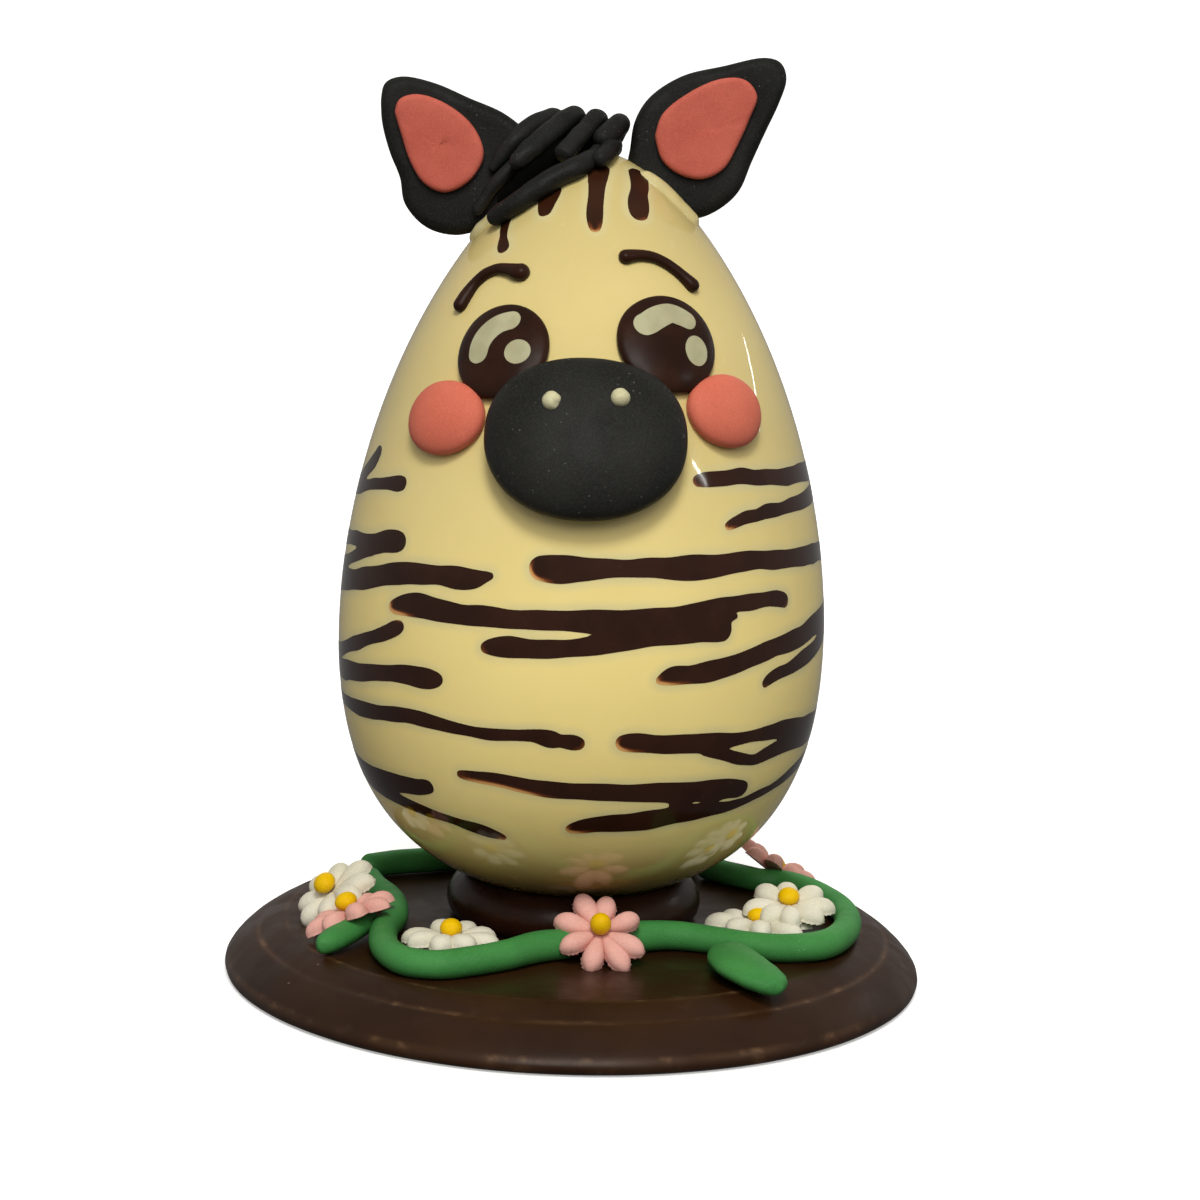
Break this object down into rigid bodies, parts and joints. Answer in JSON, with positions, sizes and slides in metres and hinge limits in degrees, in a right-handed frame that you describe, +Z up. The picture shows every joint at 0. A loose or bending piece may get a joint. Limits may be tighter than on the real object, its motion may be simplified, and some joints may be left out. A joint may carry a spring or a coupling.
{
  "type": "decorated chocolate egg",
  "caption": "White chocolate egg dressed as a zebra, with sugar-paste ears, mane and muzzle, on a round chocolate base ringed by a vine and daisies.",
  "frame": {"origin": "centre of the base disc's underside", "axes": "+Z up through the egg's poles, -Y towards the side the face looks to, +X to the right of someone facing it"},
  "size_m": [0.19, 0.19, 0.2468],
  "materials": {
    "white_chocolate": "polished white chocolate",
    "dark_chocolate": "smooth dark chocolate",
    "base_chocolate": "satin dark chocolate, a little worn",
    "black_paste": "matt black sugar paste",
    "pink_paste": "matt coral sugar paste",
    "green_paste": "matt green sugar paste",
    "white_paste": "dry white sugar paste",
    "rose_paste": "dry pale pink sugar paste",
    "yellow_paste": "yellow sugar paste"
  },
  "bodies": {
    "root": {"base_disc": "base_chocolate", "foot_ring": "dark_chocolate", "egg_shell": "white_chocolate", "stripe_shoulder": "dark_chocolate", "stripe_chest": "dark_chocolate", "stripe_belly": "dark_chocolate", "stripe_waist": "dark_chocolate", "stripe_hip": "dark_chocolate", "stripe_foot": "dark_chocolate", "drip_1": "dark_chocolate", "drip_2": "dark_chocolate", "drip_3": "dark_chocolate", "drip_4": "dark_chocolate", "muzzle": "black_paste", "nostril_left": "white_chocolate", "nostril_right": "white_chocolate", "brow_left": "dark_chocolate", "brow_right": "dark_chocolate", "cheek_left": "pink_paste", "cheek_right": "pink_paste", "eye_left": "dark_chocolate", "eye_right": "dark_chocolate", "gleam_left": "white_chocolate", "gleam_right": "white_chocolate", "spark_left": "white_chocolate", "spark_right": "white_chocolate", "ear_left": "black_paste", "ear_right": "black_paste", "inner_ear_left": "pink_paste", "inner_ear_right": "pink_paste", "ear_glue_left": "white_chocolate", "ear_glue_right": "white_chocolate", "mane_long": "black_paste", "mane_blunt": "black_paste", "mane_short": "black_paste", "mane_forehead": "black_paste", "mane_crown": "black_paste", "mane_ear": "black_paste", "mane_curl": "black_paste", "mane_under": "black_paste", "vine_front_left": "green_paste", "vine_right": "green_paste", "vine_back": "green_paste", "vine_back_left": "green_paste", "leaf_right": "green_paste", "leaf_left": "green_paste", "daisy_left_white_petals": "white_paste", "daisy_left_white_button": "yellow_paste", "daisy_left_pink_petals": "rose_paste", "daisy_left_pink_button": "yellow_paste", "daisy_front_white_petals": "white_paste", "daisy_front_white_button": "yellow_paste", "daisy_front_pink_petals": "rose_paste", "daisy_front_pink_button": "yellow_paste", "daisy_right_white_petals": "white_paste", "daisy_right_white_button": "yellow_paste", "daisy_right_low_petals": "white_paste", "daisy_right_low_button": "yellow_paste", "daisy_back_pink_petals": "rose_paste", "daisy_back_pink_button": "yellow_paste"}
  },
  "joints": []
}
